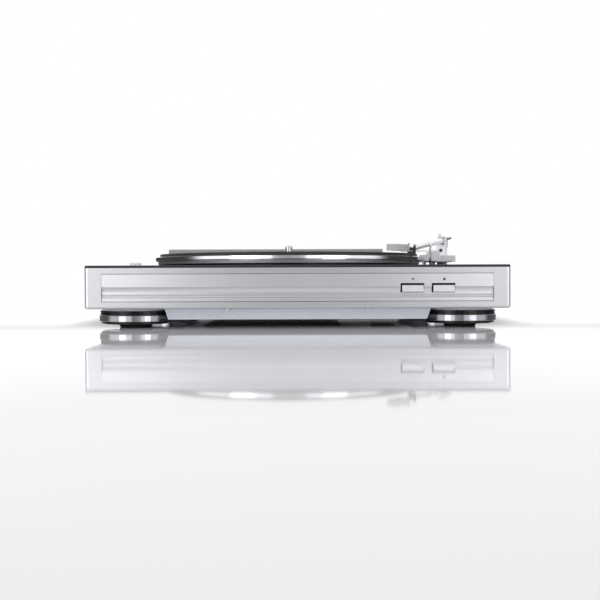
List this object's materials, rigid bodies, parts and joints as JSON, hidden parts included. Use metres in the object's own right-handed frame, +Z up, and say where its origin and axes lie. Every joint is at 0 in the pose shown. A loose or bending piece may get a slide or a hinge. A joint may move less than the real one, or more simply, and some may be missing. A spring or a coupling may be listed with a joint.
{
  "type": "turntable",
  "caption": "Low wide record player on round feet, with a belt-driven platter, a straight pick-up arm with a cue lift, and start and stop keys in a recessed front strip.",
  "frame": {"origin": "centre of the box round the whole part, at the floor under its feet", "axes": "+X to the right of someone facing the front strip, +Y to the back, +Z up along the spindle"},
  "size_m": [0.36, 0.357, 0.0888],
  "materials": {
    "case_silver": "moulded resin with satin silver paint",
    "deck_black": "dark satin moulded resin",
    "strip_silver": "satin silver paint on a moulded strip",
    "button_silver": "silver lacquered plastic",
    "under_dark": "dark moulded plastic",
    "tray_grey": "pale grey moulded plastic",
    "foot_black": "black moulded plastic",
    "foot_chrome": "polished ring",
    "foot_silver": "satin silver paint on moulded plastic",
    "foot_rubber": "soft black rubber",
    "platter_metal": "turned cast aluminium",
    "mat_rubber": "ribbed black rubber",
    "bright_steel": "turned steel",
    "bush_brass": "turned brass",
    "gear_plastic": "pale moulded plastic",
    "belt_rubber": "smooth black rubber",
    "motor_steel": "plated steel",
    "arm_silver": "silver lacquered plastic",
    "arm_pale": "pale moulded plastic",
    "arm_black": "black moulded plastic",
    "arm_tube_silver": "polished tube",
    "arm_pale_sleeve": "pale moulded sleeve",
    "rail_grey": "grey satin moulded resin",
    "board_green": "lacquered board"
  },
  "bodies": {
    "chassis": {"plinth_case": "case_silver", "deck_panel": "deck_black", "front_strip": "strip_silver", "switch_board": "board_green", "button_switches": "under_dark", "bottom_tray": "tray_grey", "bottom_hatch": "under_dark", "bottom_cap": "foot_rubber", "foot_bodies": "foot_black", "foot_rings": "foot_chrome", "foot_shoulders": "foot_silver", "foot_pads": "foot_rubber", "foot_screws": "motor_steel", "pan_screws": "motor_steel", "bearing_post": "bright_steel", "thrust_washer": "gear_plastic", "spindle": "bright_steel", "cam_post": "bright_steel", "drive_motor": "motor_steel", "drive_belt": "belt_rubber", "trip_solenoid": "under_dark", "speed_switch": "under_dark", "rear_rail": "rail_grey", "arm_base": "arm_silver", "arm_bearing": "bush_brass", "arm_rest": "arm_black", "circuit_board": "board_green", "board_parts": "under_dark", "transformer": "motor_steel", "cord_glands": "under_dark"},
    "platter_unit": {"platter": "platter_metal", "platter_bush": "bush_brass", "hub_pinion": "gear_plastic", "platter_mat": "mat_rubber"},
    "motor_rotor": {"motor_pulley": "bush_brass", "motor_shaft": "bright_steel"},
    "cam": {"cam_gear": "gear_plastic"},
    "start_key": {"start_button": "button_silver"},
    "stop_key": {"stop_button": "button_silver"},
    "plunger": {"trip_plunger": "bright_steel"},
    "speed_dial": {"speed_knob": "arm_pale"},
    "arm_swing": {"arm_shaft": "bright_steel", "arm_sector": "gear_plastic", "arm_turret": "arm_pale", "turret_screw": "arm_black"},
    "tonearm": {"arm_housing": "arm_silver", "counterweight": "motor_steel", "lift_pins": "bright_steel", "bearing_screw": "bright_steel", "balance_rod": "bright_steel", "arm_tube": "arm_tube_silver", "arm_sleeve": "arm_pale_sleeve", "arm_collar": "bright_steel", "headshell": "arm_silver", "cartridge": "arm_black", "stylus": "arm_black", "finger_lift": "arm_silver"},
    "cue": {"cue_lever": "arm_silver"},
    "lift": {"lift_bar": "arm_silver"},
    "clip": {"arm_clip": "arm_silver"}
  },
  "joints": [
    {"name": "platter_spin", "type": "hinge", "parent": "chassis", "child": "platter_unit", "pos_m": [-0.009, -0.0085, 0.06], "axis": [0, 0, 1], "continuous": true},
    {"name": "motor_spin", "type": "hinge", "parent": "chassis", "child": "motor_rotor", "pos_m": [-0.10253, 0.0455, 0.04], "axis": [0, 0, 1], "continuous": true},
    {"name": "cam_turn", "type": "hinge", "parent": "chassis", "child": "cam", "pos_m": [0.03253, -0.02362, 0.044], "axis": [0, 0, 1], "range_deg": [-11, 11]},
    {"name": "start_press", "type": "slide", "parent": "chassis", "child": "start_key", "axis": [0, 1, 0], "range_m": [0, 0.0015], "stiffness_N_per_m": 300},
    {"name": "stop_press", "type": "slide", "parent": "chassis", "child": "stop_key", "axis": [0, 1, 0], "range_m": [0, 0.0015], "stiffness_N_per_m": 300},
    {"name": "trip_pull", "type": "slide", "parent": "chassis", "child": "plunger", "axis": [1, 0, 0], "range_m": [0, 0.003], "stiffness_N_per_m": 100},
    {"name": "speed_turn", "type": "hinge", "parent": "chassis", "child": "speed_dial", "pos_m": [-0.1423, -0.1385, 0.055], "axis": [0, 0, 1], "range_deg": [0, 60]},
    {"name": "tonearm_swing", "type": "hinge", "parent": "chassis", "child": "arm_swing", "pos_m": [0.1537, 0.0615, 0.06], "axis": [0, 0, -1], "range_deg": [0, 31.5]},
    {"name": "tonearm_lift", "type": "hinge", "parent": "arm_swing", "child": "tonearm", "pos_m": [0.1537, 0.0615, 0.08185], "axis": [-0.9501, 0.312, 0], "range_deg": [0, 12]},
    {"name": "cue_turn", "type": "hinge", "parent": "chassis", "child": "cue", "pos_m": [0.1319, -0.0091, 0.0632], "axis": [1, 0, 0], "range_deg": [0, 30]},
    {"name": "lift_rise", "type": "slide", "parent": "chassis", "child": "lift", "axis": [0, 0, 1], "range_m": [0, 0.0057]},
    {"name": "clip_turn", "type": "hinge", "parent": "chassis", "child": "clip", "pos_m": [0.10838, -0.08758, 0.072], "axis": [0, 0, 1], "range_deg": [0, 90]}
  ],
  "couplings": [
    {"joint": "motor_spin", "follows": "platter_spin", "ratio": 20.778},
    {"joint": "lift_rise", "follows": "cue_turn", "m_per_rad": 0.010867},
    {"joint": "tonearm_lift", "follows": "cue_turn", "ratio": 0.0702}
  ]
}
